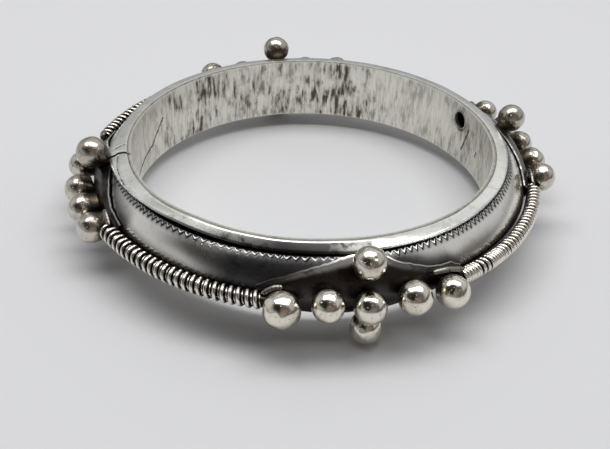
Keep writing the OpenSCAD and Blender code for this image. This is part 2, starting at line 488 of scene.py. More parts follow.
def thin_film(n, grain, spread, patch):
    """Blotches of thin tarnish, broken up by the grain."""
    patches = n.noise(patch, detail=5.0, rough=0.6, twist=0.4)
    film = n.ramp(patches, 0.62 - spread * 0.5, 0.80 - spread * 0.2)
    return n.times(n.times(film, n.ramp(grain, 0.3, 0.7, 0.5, 1.0)), spread)


def upright_streaks(n):
    """Dark strokes up and down the wrist side, in clusters, with soft smears and a brushed grain."""
    upright = n.noise(1.5, stretch=(1, 1, 0.22))
    clusters = n.noise(0.3, detail=4.0, rough=0.6, stretch=(1, 1, 0.6), twist=0.3)
    smear = n.noise(0.8, detail=6.0, rough=0.65, stretch=(1, 1, 0.3))
    brushed = n.noise(5.0, rough=0.7, stretch=(1, 1, 0.05))
    streak = n.times(n.ramp(upright, 0.38, 0.70), n.ramp(clusters, 0.38, 0.58))
    streak = n.plus(streak, n.ramp(smear, 0.42, 0.75, 0.0, 0.4), clamp=True)
    return n.plus(n.times(streak, n.attribute("stain")), n.ramp(brushed, 0.3, 0.8, -0.08, 0.2))


def tarnish_and_shade_share(n, grain, dots, spread, patch, specks, streaked):
    """How much of the tarnish's colour each point of the surface has, as tarnish and as painted shade."""
    # The even share and the ragged share hold both tarnish and painted shade
    share = n.plus(thin_film(n, grain, spread, patch), n.attribute("tone"))
    share = n.plus(share, n.ramp(dots, 0.70, 0.76, 0.0, specks))
    if streaked:
        share = n.plus(share, upright_streaks(n))
    ragged = n.plus(n.attribute("recess"), n.ramp(grain, 0.2, 0.8, -0.3, 0.3))
    share = n.plus(share, n.ramp(ragged, 0.25, 0.75), clamp=True)
    return n.times(share, n.minus(1.0, n.attribute("worn"), clamp=True))


def fine_bump(n, grain, dots, scratches, pits):
    """The surface's direction, with fine scratches and small pits."""
    fine = n.noise(6.0, rough=0.7, stretch=(1, 1, 0.2))
    height = n.plus(fine, n.times(grain, 1.5))
    height = n.minus(height, n.ramp(dots, 0.66, 0.74, 0.0, pits))
    bump = n.add("ShaderNodeBump")
    bump.inputs["Strength"].default_value = 1.0
    bump.inputs["Distance"].default_value = scratches * MM
    n.link(height, bump.inputs["Height"])
    return bump.outputs[0]


def silver(
    name, clean, tarnish, gloss, spread, patch=0.22, scratches=0.004, specks=0.0, pits=0.0, streaked=False
):
    """Silver with tarnish in its recesses and thin films of it elsewhere.

    clean and tarnish are colours, and gloss is the roughness of each; the tarnish colour also paints shade.
    spread is how far films of tarnish cover it, in patch blotches a millimetre. scratches is the bumps'
    depth, specks how dark small dots are, and pits how deep. The piece's points say where more tarnish and
    painted shade lie, as an even share and as a share with a ragged edge; stain brings a streaked surface's
    streaks, and worn metal has none.
    """
    material = bpy.data.materials.new(name)
    n = Nodes(material)
    shader = n.add("ShaderNodeBsdfPrincipled")
    n.link(shader.outputs[0], n.add("ShaderNodeOutputMaterial").inputs[0])
    shader.inputs["Metallic"].default_value = 1.0
    grain = n.noise(2.2, detail=4.0, rough=0.7)
    dots = n.noise(3.6, detail=1.0, rough=0.5)
    share = tarnish_and_shade_share(n, grain, dots, spread, patch, specks, streaked)
    n.link(n.blend(share, clean, tarnish), shader.inputs["Base Color"])
    rough = n.times(n.ramp(share, 0.0, 1.0, *gloss), n.ramp(grain, 0.25, 0.75, 0.92, 1.12))
    n.link(rough, shader.inputs["Roughness"])
    n.link(fine_bump(n, grain, dots, scratches, pits), shader.inputs["Normal"])
    return material


BAND_SILVER = silver(
    "band_silver", clean=(0.86, 0.845, 0.762), tarnish=(0.12, 0.104, 0.075), gloss=(0.36, 0.5),
    spread=0.22, scratches=0.008, specks=0.3, streaked=True,
)
RIM_SILVER = silver(
    "rim_silver", clean=(0.94, 0.94, 0.885), tarnish=(0.045, 0.042, 0.04), gloss=(0.24, 0.38),
    spread=0.3, patch=0.6, scratches=0.005, specks=0.25,
)
SHELL_SILVER = silver(
    "shell_silver", clean=(0.90, 0.875, 0.82), tarnish=(0.05, 0.048, 0.056), gloss=(0.22, 0.32),
    spread=0.2, patch=0.5, scratches=0.003,
)
PLATE_SILVER = silver(
    "plate_silver", clean=(0.84, 0.82, 0.78), tarnish=(0.030, 0.025, 0.023), gloss=(0.24, 0.32),
    spread=0.25,
)
BALL_SILVER = silver(
    "ball_silver", clean=(0.90, 0.855, 0.745), tarnish=(0.105, 0.086, 0.064), gloss=(0.15, 0.38),
    spread=0.36, patch=0.7, scratches=0.005, specks=0.6, pits=4.0,
)
WIRE_SILVER = silver(
    "wire_silver", clean=(0.88, 0.84, 0.755), tarnish=(0.055, 0.046, 0.037), gloss=(0.24, 0.4),
    spread=0.15, specks=0.5,
)


# Inner band


def band_section():
    """Radius and height round the band's section, up the wrist side and down the hidden side."""
    wall = np.full(WALL_ROWS, WRIST_R)
    hidden = np.full(HIDDEN_ROWS, WRIST_R + BAND_T + 1.4 * SEAM)
    up = np.linspace(-BAND_HALF, BAND_HALF, WALL_ROWS)
    down = np.linspace(BAND_HALF, -BAND_HALF, HIDDEN_ROWS)
    return np.concatenate([wall, hidden]), np.concatenate([up, down])


def carve(piece, cutter):
    """Cuts a mesh object out of a piece and deletes the cutter."""
    modifier = piece.modifiers.new("cut", "BOOLEAN")
    modifier.operation = "DIFFERENCE"
    modifier.solver = "EXACT"
    modifier.object = cutter
    bpy.context.view_layer.update()
    graph = bpy.context.evaluated_depsgraph_get()
    carved = bpy.data.meshes.new_from_object(piece.evaluated_get(graph))
    piece.modifiers.clear()
    piece.data = carved
    bpy.data.objects.remove(cutter)


def vent_cutter():
    """A round bar through the band, where its vent hole is."""
    sides = 64
    turn = circle(sides)
    rings = [
        np.stack([np.full(sides, depth), VENT_R * np.cos(turn), VENT_Z + VENT_R * np.sin(turn)], axis=-1)
        for depth in (WRIST_R - 1.0, WRIST_R + BAND_T + 0.8)
    ]
    points = np.concatenate(rings) * MM
    mesh = bpy.data.meshes.new("vent_cutter")
    mesh.from_pydata(points.tolist(), [], tube_faces(2, sides))
    mesh.transform(Matrix.Rotation(np.radians(VENT_AZ), 4, "Z"))
    cutter = bpy.data.objects.new("vent_cutter", mesh)
    bpy.context.scene.collection.objects.link(cutter)
    return cutter


def band_tarnish_and_shade(azimuth, heights):
    """The wrist side's streaks and its even tarnish, with a dark ring round the vent hole, and painted
    shade on the hidden side.
    """
    edge = smooth(np.abs(heights), BAND_HALF - 0.35, BAND_HALF)
    stain = by_azimuth(azimuth, BAND_STAIN) * (1 - 0.6 * edge)
    from_vent = np.hypot((azimuth - VENT_AZ) * WRIST_DEGREE + 0.1, heights - VENT_Z + 0.15)
    ring = 1 - smooth(from_vent, VENT_R + 0.1, VENT_R + 0.6)
    tone = by_azimuth(azimuth, BAND_TONE) + 0.55 * ring
    # Painted shade: the hidden side, inside the hollow, is painted dark
    tone[WALL_ROWS:] = 0.8
    return stain, tone


def make_inner_band():
    azimuth = np.linspace(0, 360, BAND_COLUMNS, endpoint=False)[None, :]
    radii, heights = (np.repeat(row[:, None], BAND_COLUMNS, axis=1) for row in band_section())
    uneven = ripple(polar(radii, azimuth, heights), 0.035, 9.0, 11, (1, 1, 2.5))
    lines = [[(az * WRIST_DEGREE, height) for az, height in mark] for mark in BAND_MARKS]
    marks = drawn_lines(azimuth * WRIST_DEGREE, heights, lines, 0.45)
    radii[:WALL_ROWS] += (uneven + 0.05 * marks)[:WALL_ROWS]
    press = by_azimuth(azimuth, FRONT_PRESS) * smooth(heights, 0.5, BAND_HALF)
    points = polar(radii - press, azimuth, heights + PRESS_RISE * press)
    stain, tone = band_tarnish_and_shade(azimuth, heights)
    faces = grid_faces(*radii.shape, wrap_rows=True, wrap_columns=True)
    piece = new_piece(
        "inner_band_wall", points, faces, BAND_SILVER, "inner_band", "band_silver",
        recess=marks * 0.75, stain=stain, tone=tone,
    )
    carve(piece, vent_cutter())
    sharpen(piece, 40)


# Rims


def rim_section(reach, drop):
    """Radius and height round a rim's section, for each outer reach and fall of its outer edge."""
    inner = WRIST_R + BAND_T + SEAM
    floor = BAND_HALF - RIM_T
    outer = (WRIST_R + reach)[None, :]
    flat = 0 * outer
    level = np.linspace(inner, RIM_CREST, 5)[:-1, None] + flat
    share = np.concatenate([np.linspace(0, 0.88, 12), [0.95, 0.985, 1.0]])[:, None]
    slope = RIM_CREST + share * (outer - RIM_CREST)
    fall = drop * share**1.2 + 0.1 * smooth(share, 0.88, 1.0)
    lip = np.minimum(floor - 0.1, BAND_HALF - fall[-1:] - 0.03)
    radii = np.concatenate([level, slope, outer, outer - 0.2, inner + flat])
    edge_round = 0.03 * (level == level[0])
    heights = np.concatenate([
        BAND_HALF - edge_round, BAND_HALF - fall, lip, floor - 0.03 + flat, floor + flat,
    ])
    return radii, heights


def crack_line(share):
    """Azimuth of the crack's edge at each share of the rim's width: bowed, and jagged as torn metal."""
    rng = np.random.default_rng(5)
    bow = -1.3 * np.sin(np.clip(share, 0, 1) * np.pi)
    return bow + np.interp(share, np.linspace(0, 1, 12), rng.uniform(-0.22, 0.22, 12))


def rim_azimuths(half):
    """Azimuths of the upper rim's columns, from one side of the crack round to the other."""
    close = np.linspace(0, 1, 60) ** 1.6 * 4
    fine = np.linspace(4, 24, 160)[1:]
    coarse = np.linspace(24, 350, 620)[1:]
    last = np.linspace(350, 356, 60)[1:]
    turn = np.concatenate([close, fine, coarse, last, 360 - close[::-1][1:]])
    return CRACK_AZ + half + turn / 360 * (360 - 2 * half)


def strip_faces(rows, columns):
    """Faces of a strip that is closed round its section, with a lid at each end."""
    faces = grid_faces(rows, columns, wrap_rows=True)
    first = [row * columns for row in range(rows)]
    last = [row * columns + columns - 1 for row in range(rows)]
    return faces + [first, last[::-1]]


def make_upper_rim():
    columns = rim_azimuths(np.degrees(CRACK_W / 2 / (WRIST_R + 1.2)))
    reach = by_azimuth(columns, UPPER_RIM_REACH) + wobble(columns, 24, 21)
    radii, heights = rim_section(reach, by_azimuth(columns, RIM_DROP))
    share = (columns - columns[0]) / (columns[-1] - columns[0])
    near_crack = 1 - smooth(np.minimum(share, 1 - share) * 360, 0.0, 3.0)
    across = (radii - WRIST_R) / 3.0
    jag = crack_line(across) + 0.06 * across * (share <= 0.5)
    azimuth = columns + jag * near_crack
    lines = [[(radius, np.radians(az) * RIM_MARK_R) for radius, az in mark] for mark in RIM_MARKS]
    marks = drawn_lines(radii, np.radians(azimuth % 360) * RIM_MARK_R, lines, 0.26)
    press = by_azimuth(azimuth, FRONT_PRESS)
    inward = press * (1 - smooth(across, 0.2, 0.8))
    points = polar(radii - inward, azimuth, heights + PRESS_RISE * press)
    points[..., 2] += ripple(points, 0.025, 7.0, 23) * MM
    row = np.arange(len(radii))[:, None]
    turned_down = near_crack * smooth(across, 0.0, 1.0) + marks * (row < RIM_TOP_ROWS - 1)
    points[..., 2] -= 0.05 * turned_down * MM
    # The rows past the top get painted shade on the rim's underside and the outer edge next to it; the
    # crack and the marks are darkened too
    recess = np.clip(0.9 * (row >= RIM_TOP_ROWS) + near_crack**40 + 0.6 * marks, 0, 1)
    # Painted dark reflection on the rim's slope at the front
    tone = by_azimuth(azimuth, RIM_DARK_REFLECTION) * smooth(BAND_HALF - heights, 0.02, 0.1)
    piece = new_piece(
        "upper_rim_strip", points, strip_faces(*radii.shape), RIM_SILVER, "upper_rim", "rim_silver",
        recess=recess, tone=tone,
    )
    sharpen(piece, 50)


def make_lower_rim():
    azimuth = np.linspace(0, 360, 720, endpoint=False)
    reach = by_azimuth(azimuth, LOWER_RIM_REACH) + wobble(azimuth, 24, 31)
    radii, heights = rim_section(reach, np.full(reach.shape, LOWER_RIM_DROP))
    points = polar(radii, azimuth, -heights)
    points[..., 2] += ripple(points, 0.02, 7.0, 33) * MM
    faces = [face[::-1] for face in grid_faces(*radii.shape, wrap_rows=True, wrap_columns=True)]
    # Painted shade on the rim's side turned to the shell and on the outer edge next to it
    recess = 0.9 * (np.arange(len(radii))[:, None] >= RIM_TOP_ROWS)
    piece = new_piece(
        "lower_rim_strip", points, faces, RIM_SILVER, "lower_rim", "rim_silver", recess=recess
    )
    sharpen(piece, 50)


# Shells


def plate_edge(name, offset):
    """Height of a plate's edge at each angle from its station, and 0 past its tips."""
    low, high = (np.array(side) for side in PLATE_EDGES[name])
    left = np.interp(-offset, *low.T, right=0)
    right = np.interp(offset, *high.T, right=0)
    return np.where(offset < 0, left, right)


def station_offset(azimuth, name):
    """Azimuth from a station, from -180 to 180."""
    return (azimuth - STATION_AZ[name] + 180) % 360 - 180


def plate_distance(azimuth, heights):
    """Roughly how far each point of a shell lies from the nearest plate's edge."""
    nearest = np.full(heights.shape, np.inf)
    for name in STATION_AZ:
        offset = station_offset(azimuth, name)
        for side, sign in zip(PLATE_EDGES[name], (-1, 1)):
            turn, edge = np.array(side).T
            above = np.maximum(heights - np.interp(sign * offset, turn, edge), 0) * 0.9
            beyond = np.maximum(sign * offset - turn[-1], 0) * np.radians(1) * SHELL_END[0]
            away = np.where(sign * offset >= 0, np.hypot(above, beyond), np.inf)
            nearest = np.minimum(nearest, away)
    return nearest


def zigzag_columns(seed):
    """For each column of a shell: its azimuth, place across the zigzag, stroke width and tooth's luck."""
    rng = np.random.default_rng(seed)
    starts = [0.0]
    while starts[-1] < 360:
        pitch = by_azimuth(starts[-1], ZIGZAG)
        starts.append(starts[-1] + np.degrees(pitch / (SHELL_TOP[0] + 0.5)) * rng.normal(1, 0.09))
    starts = np.array(starts) * 360 / starts[-1]
    steps = np.arange(TOOTH_COLUMNS) / TOOTH_COLUMNS
    azimuth = (starts[:-1, None] + np.diff(starts)[:, None] * steps).ravel()
    teeth = len(starts) - 1
    wave = np.tile(np.abs(2 * steps - 1), teeth)
    stroke = np.tile(1.2 + 0.65 * np.sin(2 * np.pi * steps), teeth)
    luck = np.repeat(rng.normal(0, 1, teeth), TOOTH_COLUMNS)
    return azimuth, wave, stroke, luck


def zigzag_line(azimuth, wave, luck, seed):
    """How far below the rim the zigzag runs at each column, and how far its teeth reach there."""
    near = by_azimuth(azimuth, ZIGZAG, 2)
    far = by_azimuth(azimuth, ZIGZAG, 3)
    line = (near + far) / 2 + (wave - 0.5) * (far - near) * (1 + 0.13 * luck)
    return line + wobble(azimuth, 20, seed), far


def covered_by_plates(azimuth):
    """1 where a plate hides the zigzag, and 0 where it shows."""
    covered = np.zeros_like(azimuth)
    for name in STATION_AZ:
        height = plate_edge(name, station_offset(azimuth, name))
        covered = np.maximum(covered, smooth(height, 3.7, 4.1))
    return covered


def shell_rows(azimuth, stroke, luck, line, far):
    """How far down the shell each point lies, how deep it is cut, and how far it is in a dark groove."""
    flat = np.zeros_like(line)
    shown = 1 - covered_by_plates(azimuth)
    # Around FAINT_AZ the cuts are shallower and their dark is lessened, a painted highlight where the
    # groove walls catch the light
    faint = 1 - 0.75 * np.exp(-(((azimuth - FAINT_AZ) / 16) ** 2))
    rows = [(flat + SHELL_FIRST, flat, flat)]
    for place, depth in zip(STROKE_PLACES, STROKE_DEPTHS):
        cut = depth * shown * (1 + 0.3 * luck) * faint
        dark = (abs(place) < 1.5 * ZIGZAG_HALF_W) * shown * faint
        rows.append((line + place * stroke, cut, dark))
    for down in np.linspace(far.max() + 0.3, SHELL_LAST, 16):
        rows.append((flat + down, flat, flat))
    return np.array(rows).transpose(1, 0, 2)


def shell_tarnish_and_shade(azimuth, along, heights, groove, far):
    """Tarnish of a shell's outer side, ragged in its grooves and even elsewhere, with painted shade along
    its edges, near the coil and beside the plates, and a painted dark reflection at the front.
    """
    to_coil = SHELL_ARC.length - along
    # Painted shade under the rim's overhang and where the shell meets the coil
    painted_rim_shade = 1 - smooth(along, 0.12, 0.3)
    painted_coil_shade = 1 - smooth(to_coil, 0.1, 0.9)
    recess = np.clip(0.9 * np.maximum(np.maximum(groove, painted_rim_shade), painted_coil_shade), 0, 1)
    # Painted dark reflection of the room on the camera's side, across the front of the shell
    painted_room_reflection = 0.9 * smooth(azimuth, 235, 252) * (1 - smooth(azimuth, 280, 292))
    # Painted shade on the shell as it nears the coil
    tone = np.maximum(painted_room_reflection, 0.75 * (1 - smooth(to_coil, -0.3, 2.8)))
    # Painted shade on the shell beside each plate's raised edge, wider near SHADE_AZ
    shade = 1.5 + 2.0 * np.exp(-(((azimuth - SHADE_AZ) / 11) ** 2))
    tone = np.maximum(tone, 0.9 * (1 - smooth(plate_distance(azimuth, heights) / shade, 0.0, 1.0)))
    border = 1 - smooth(along, far + 0.05, far + 0.3)
    border_tone = 0.62 - 0.2 * smooth(azimuth, 285, 300)
    return recess, np.maximum(tone * (1 - 0.3 * border), border_tone * border)


def make_shell(side, name, node, seed):
    """The shell above the equator where side is 1, and the one below it where side is -1."""
    azimuth, wave, stroke, luck = zigzag_columns(seed)
    line, far = zigzag_line(azimuth, wave, luck, seed + 1)
    along, depth, groove = shell_rows(azimuth, stroke, luck, line, far)
    radii, heights = SHELL_ARC.at(along, depth)
    bend = ripple(polar(radii, azimuth, heights), 0.03, 6.0, seed + 2)
    radii, heights = SHELL_ARC.at(along, depth - bend)
    inner_along = np.array([SHELL_LAST, 3.0, SHELL_FIRST])[:, None]
    inner_radii, inner_heights = SHELL_ARC.at(inner_along, SHELL_T)
    inner = polar(inner_radii, azimuth, inner_heights)
    points = np.concatenate([polar(radii, azimuth, heights), inner])
    points[..., 2] *= side
    faces = grid_faces(*points.shape[:2], wrap_rows=True, wrap_columns=True)
    if side > 0:
        faces = [face[::-1] for face in faces]
    recess, tone = shell_tarnish_and_shade(azimuth, along, heights, groove, far)
    # Painted shade: the inner side, inside the hollow, is painted dark
    recess = np.concatenate([recess, np.ones(inner.shape[:2])])
    tone = np.concatenate([tone, np.zeros(inner.shape[:2])])
    new_piece(name, points, faces, SHELL_SILVER, node, "shell_silver", recess=recess, tone=tone)


# Ball plates


def plate_outline(name):
    """Angle from the station of each column of a plate, and the height of its uneven edge there."""
    low, high = PLATE_EDGES[name]
    offset = np.linspace(-low[-1][0], high[-1][0], 161)
    rng = np.random.default_rng(len(name) * 7)
    ragged = np.interp(offset, np.linspace(-30, 30, 61), rng.uniform(-0.07, 0.07, 61))
    edge = plate_edge(name, offset) + ragged * smooth(np.abs(offset), 3, 6)
    return offset, np.maximum(edge, 0.6)


def plate_reach(name, up, from_edge):
    """Radius of a plate's outer side: close to the shell along its edge, and raised inside it."""
    raised = PLATE_ARC.reach(np.minimum(up, PLATE_TOP[1]))
    pressed = SHELL_ARC.reach(up) + (SEAM + PLATE_T) / np.cos(SHELL_ARC.slope(up))
    lift = PLATE_LIFT[name] + (1 - PLATE_LIFT[name]) * smooth(from_edge, 0.0, 0.7)
    return np.minimum(pressed, raised) * (1 - lift) + raised * lift


def sheet_faces(rows, columns):
    """Faces of a sheet whose rows run over its outer side and back over its inner side."""
    faces = grid_faces(rows, columns, wrap_rows=True)
    for column in (0, columns - 1):
        for row in range(rows // 2 - 1):
            corners = (row, row + 1, rows - 2 - row, rows - 1 - row)
            quad = [corner * columns + column for corner in corners]
            faces.append(quad if column == 0 else quad[::-1])
    return faces


def painted_ball_shadow(name, offset, heights):
    """Painted shadow of the balls on a plate: 1 where a ball of its row stands, and 0 away from them."""
    near = np.zeros(heights.shape)
    for turn, rise, _ in BALL_ROWS[name]:
        away = np.hypot((offset - turn) * PLATE_DEGREE, heights - rise)
        near = np.maximum(near, 1 - smooth(away, 0.8, 1.7))
    return near


def make_plate(name):
    """The sheet of a plate: its outer side, its edges pressed down to the shell, and its inner side."""
    offset, edge = plate_outline(name)
    heights = np.sin(np.radians(np.linspace(-90, 90, 41)))[:, None] * edge
    up = np.abs(heights)
    from_edge = np.minimum((edge - up) * 0.8, (26.0 - np.abs(offset)) * 0.5)
    radii = plate_reach(name, up, from_edge)
    azimuth = STATION_AZ[name] + offset
    bend = ripple(polar(radii, azimuth, heights), 0.03, 4.5, 41 + len(name))
    slope = SHELL_ARC.slope(up) * np.sign(heights)
    radii = radii + bend * np.cos(slope)
    outer = polar(radii, azimuth, heights + bend * np.sin(slope))
    inner = polar(radii - PLATE_T * np.cos(slope), azimuth, heights - 0.7 * PLATE_T * np.sin(slope))
    points = np.concatenate([outer, inner[::-1]])
    # Painted shadow round the balls' feet, and painted shade on the inner side inside the hollow
    recess = np.concatenate([0.8 * painted_ball_shadow(name, offset, heights), np.ones(up.shape)])
    worn = np.concatenate([1 - smooth(from_edge, 0.03, PLATE_WORN[name]), np.zeros(up.shape)])
    piece = new_piece(
        f"{name}_plate", points, sheet_faces(*points.shape[:2]), PLATE_SILVER, f"{name}_ball_plate",
        "ball_plate_silver", recess=recess, tone=PLATE_TONE[name], worn=worn,
    )
    sharpen(piece, 50)


# Balls


def ball_profile(radius, solder):
    """Distance from the ball's axis and height over the plate, from the solder's foot up to the pole."""
    centre = radius - BALL_SINK
    turn = np.radians(np.linspace(-64 + 28 * smooth(solder, 0.85, 1.5), 90, 48))
    foot = np.array([[solder, -0.2], [solder - 0.02, 0.0], [solder + 0.01, 0.08]])
    body = np.stack([radius * np.cos(turn), centre + radius * np.sin(turn)], axis=-1)
    return np.concatenate([foot, body])


def hand_made(ray, radius, rng):
    """Points of a ball, seen from its centre, with five slight flats and seven shallow dents."""
    for _ in range(5):
        direction = rng.normal(size=3)
        direction /= np.linalg.norm(direction)
        beyond = np.maximum(ray @ direction - radius * (1 - rng.uniform(0.01, 0.045)), 0)
        ray = ray - 0.8 * beyond[:, None] * direction
    for _ in range(7):
        direction = rng.normal(size=3)
        direction *= radius / np.linalg.norm(direction)
        away = np.linalg.norm(ray - direction, axis=1)
        width = rng.uniform(0.22, 0.5)
        ray = ray * (1 - rng.uniform(0.01, 0.03) * np.exp(-((away / width) ** 2)))[:, None]
    return ray


def ball_points(radius, solder, seed):
    """Points of an uneven ball on its own axis, in rings from its foot up and then the pole."""
    profile = ball_profile(radius, solder)
    along, across = profile[:-1, 1:], profile[:-1, :1]
    turn = circle(BALL_SIDES)
    rings = np.broadcast_arrays(along, across * np.cos(turn), across * np.sin(turn))
    pole = [[profile[-1, 1], 0, 0]]
    points = np.concatenate([np.stack(rings, axis=-1).reshape(-1, 3), pole])
    rng = np.random.default_rng(seed)
    centre = np.array([radius - BALL_SINK, 0, 0])
    ray = points - centre
    uneven = ripple(points * MM, 0.012 * radius, 2.2, seed)[:, None]
    length = np.linalg.norm(ray, axis=1, keepdims=True)
    ray = ray * (1 + rng.normal(0, 0.012, 3)) * (1 + uneven / length)
    return centre + hand_made(ray, radius, rng)


def ball_faces(count):
    """Faces of a ball of that many points, with a lid over its foot."""
    rings = (count - 1) // BALL_SIDES
    last = (rings - 1) * BALL_SIDES
    faces = grid_faces(rings, BALL_SIDES, wrap_columns=True)
    faces += [[last + i, last + (i + 1) % BALL_SIDES, count - 1] for i in range(BALL_SIDES)]
    return faces + [list(range(BALL_SIDES))[::-1]]


def make_ball(station, label, radius, seat, tilt, azimuth, seed, more_tone=0.0):
    """A soldered ball whose foot is at the seat's radius and height, and whose axis is tilted upwards."""
    points = ball_points(radius, SOLDER_R[station], seed)
    matrix = (
        Matrix.Rotation(np.radians(azimuth), 4, "Z")
        @ Matrix.Translation(Vector((seat[0], 0, seat[1])))
        @ Matrix.Rotation(-np.radians(tilt), 4, "Y")
    )
    turned = points @ np.array(matrix.to_3x3()).T + np.array(matrix.translation)
    height = points[:, 0]
    recess = 1 - 0.35 * smooth(height, 0.1, 0.75) - 0.65 * smooth(height / (2 * radius), 0.2, 0.72)
    new_piece(
        f"{station}_ball_{label}", turned * MM, ball_faces(len(points)), BALL_SILVER,
        f"{station}_ball_plate", "ball_plate_silver", recess=recess, tone=BALL_TONE[station] + more_tone,
    )


def make_balls(name, seed):
    az = STATION_AZ[name]
    lift = np.radians(BALL_LIFT)
    seat = PLATE_ARC.centre + PLATE_ARC.radius * np.array([np.cos(lift), np.sin(lift)])
    below = seat * (1, -1)
    make_ball(name, "upper", UPPER_BALL_R[name], seat, BALL_LIFT, az, seed, UPPER_BALL_TONE)
    make_ball(name, "lower", FOOT_BALL_R, below, -BALL_LIFT, az, seed + 1)
    for i, (turn, rise, radius) in enumerate(BALL_ROWS[name]):
        place = (PLATE_ARC.reach(abs(rise)), rise)
        tilt = np.degrees(PLATE_ARC.slope(abs(rise))) * np.sign(rise)
        make_ball(name, i, radius, place, tilt, az + turn, seed + 2 + i)


# Coils


def outward(azimuth):
    """The level direction outwards at each azimuth in radians."""
    return np.stack([np.cos(azimuth), np.sin(azimuth), 0 * azimuth], axis=-1)


def tube(path, normal, side, reach, thick, sides):
    """Points of a tube round a path. Normal and side span its section, as far as reach and thick."""
    turn = circle(sides)
    along_normal = np.outer(reach * np.ones(len(path)), np.cos(turn))[..., None] * normal[:, None]
    along_side = np.outer(thick * np.ones(len(path)), np.sin(turn))[..., None] * side[:, None]
    return path[:, None] + along_normal + along_side


def frame_of(path, guide):
    """Two directions square to a path at each of its points, the first nearest to the guide."""
    tangent = np.gradient(path, axis=0)
    tangent /= np.linalg.norm(tangent, axis=1, keepdims=True)
    side = np.cross(tangent, guide)
    side /= np.linalg.norm(side, axis=1, keepdims=True)
    return np.cross(side, tangent), side


def coil_piece(name, label, points, recess, **attributes):
    """A piece of a coil, from the points of a tube."""
    new_piece(
        f"{name}_{label}", points, tube_faces(*points.shape[:2]), WIRE_SILVER, name, "coil_silver",
        recess=recess, **attributes,
    )


def turn_counter(start, finish, pitch):
    """How many turns are wound at each share of the way, and how many whole turns there are."""
    length = np.radians(finish - start) * COIL_R
    share = np.linspace(0, 1, 600)
    rate = length / np.interp(share, *np.array(pitch).T)
    wound = np.concatenate([[0], np.cumsum((rate[1:] + rate[:-1]) / 2 * np.diff(share))])
    turns = round(wound[-1])
    return share, wound * turns / wound[-1], turns


def make_winding(name, label, ends, pitch, seed, wire_r, turn_r, phase=0.0, dark=0.0, flank_shade=0.7):
    """A wire wound round a coil's core, between two azimuths."""
    rng = np.random.default_rng(seed)
    share, wound, turns = turn_counter(*ends, pitch)
    per_turn, sides = 26, 14
    turn = np.linspace(0, turns, turns * per_turn + 1)
    knots = np.arange(turns + 1)
    slip = np.interp(turn, knots, rng.normal(0, 0.05, turns + 1))
    swell = 1 + np.interp(turn, knots, rng.normal(0, 0.015, turns + 1))
    along = np.interp(turn + slip + phase, wound, share)
    out = outward(np.radians(ends[0] + (ends[1] - ends[0]) * along))
    wind = (np.pi / 2 - 2 * np.pi * turn)[:, None]
    arm = out * np.cos(wind) + UP * np.sin(wind)
    path = out * COIL_R + arm * (turn_r * swell)[:, None]
    points = tube(path, *frame_of(path, arm), wire_r, wire_r, sides) * MM
    around = circle(sides)
    # Painted shade on the wire's side towards the core, on its flanks towards the next turns, and on each
    # turn near the shell
    inward = smooth(-np.cos(around), -0.35, 0.5)
    between = smooth(np.abs(np.sin(around)), 0.45, 0.92) * flank_shade
    painted_shell_shade = smooth(-np.cos(wind), 0.1, 0.8)
    recess = np.clip(np.maximum(np.maximum(inward, between), painted_shell_shade * 0.8) + dark, 0, 1)
    coil_piece(name, label, points, recess)


def make_core(name, ends):
    """The core wire, a little longer than what is wound on it."""
    out = outward(np.radians(np.linspace(ends[0] - 0.6, ends[1] + 0.6, 160)))
    up = np.broadcast_to(UP, out.shape)
    points = tube(out * COIL_R, out, up, CORE_R, CORE_R, 16) * MM
    # Painted shade: the core, seen between the turns, is painted dark all over
    coil_piece(name, "core", points, 1.0)


def make_tongue(name, label, end, length):
    """The flattened, nicked end of a core, that runs on from the coil's end over the plate."""
    share = np.linspace(0, 1, 60)
    out = outward(np.radians(end + length * (share * 1.1 - 0.1)))
    rise = 1.15 + 0.95 * smooth(share, -0.1, 0.7)
    path = out * (COIL_R - 0.1 - 0.6 * share)[:, None] + UP * rise[:, None]
    lean = 0.75 * UP + 0.65 * out
    across, through = frame_of(path, np.cross(lean, np.gradient(path, axis=0)))
    nicks = 1 + 0.014 * np.sin(share * abs(length) * 0.64 / NICK_PITCH * 2 * np.pi)
    taper = nicks * np.sqrt(np.clip(1 - (2 * share - 1) ** 8, 0.05, 1))
    points = tube(path, across, through, TONGUE_HALF_W * taper, TONGUE_HALF_T * taper, 14) * MM
    recess = 0.4 * (nicks < 0.99)[:, None]
    coil_piece(name, label, points, recess, tone=TONGUE_TONE)


def make_coils():
    for number, (name, (before, after, pitch, tongues)) in enumerate(COILS.items()):
        start = STATION_AZ[before] + COIL_END
        finish = STATION_AZ[after] - COIL_END
        if finish < start:
            finish += 360
        ends = (start, finish)
        seed = 70 + number
        if name == "front_right_coil":
            make_winding(name, "wire", ends, pitch, seed, **FINE_WIRE)
        else:
            make_winding(name, "wire", ends, pitch, seed, **HEAVY_WIRE)
            make_winding(name, "thin_wire", ends, pitch, seed, **THIN_WIRE)
        make_core(name, ends)
        make_tongue(name, "tongue_a", start, -tongues[0])
        make_tongue(name, "tongue_b", finish, tongues[1])


# Floor, light and camera


def make_floor():
    half, level = FLOOR_HALF, cad_box[0][2]
    corners = [(-half, -half, level), (half, -half, level), (half, half, level), (-half, half, level)]
    mesh = bpy.data.meshes.new("floor")
    mesh.from_pydata(corners, [], [(0, 1, 2, 3)])
    material = bpy.data.materials.new("floor")
    material.use_nodes = True
    shader = material.node_tree.nodes["Principled BSDF"]
    shader.inputs["Base Color"].default_value = (*FLOOR_COLOUR, 1.0)
    shader.inputs["Roughness"].default_value = 0.9
    shader.inputs["Specular IOR Level"].default_value = 0.1
    mesh.materials.append(material)
    floor = bpy.data.objects.new("floor", mesh)
    bpy.context.scene.collection.objects.link(floor)


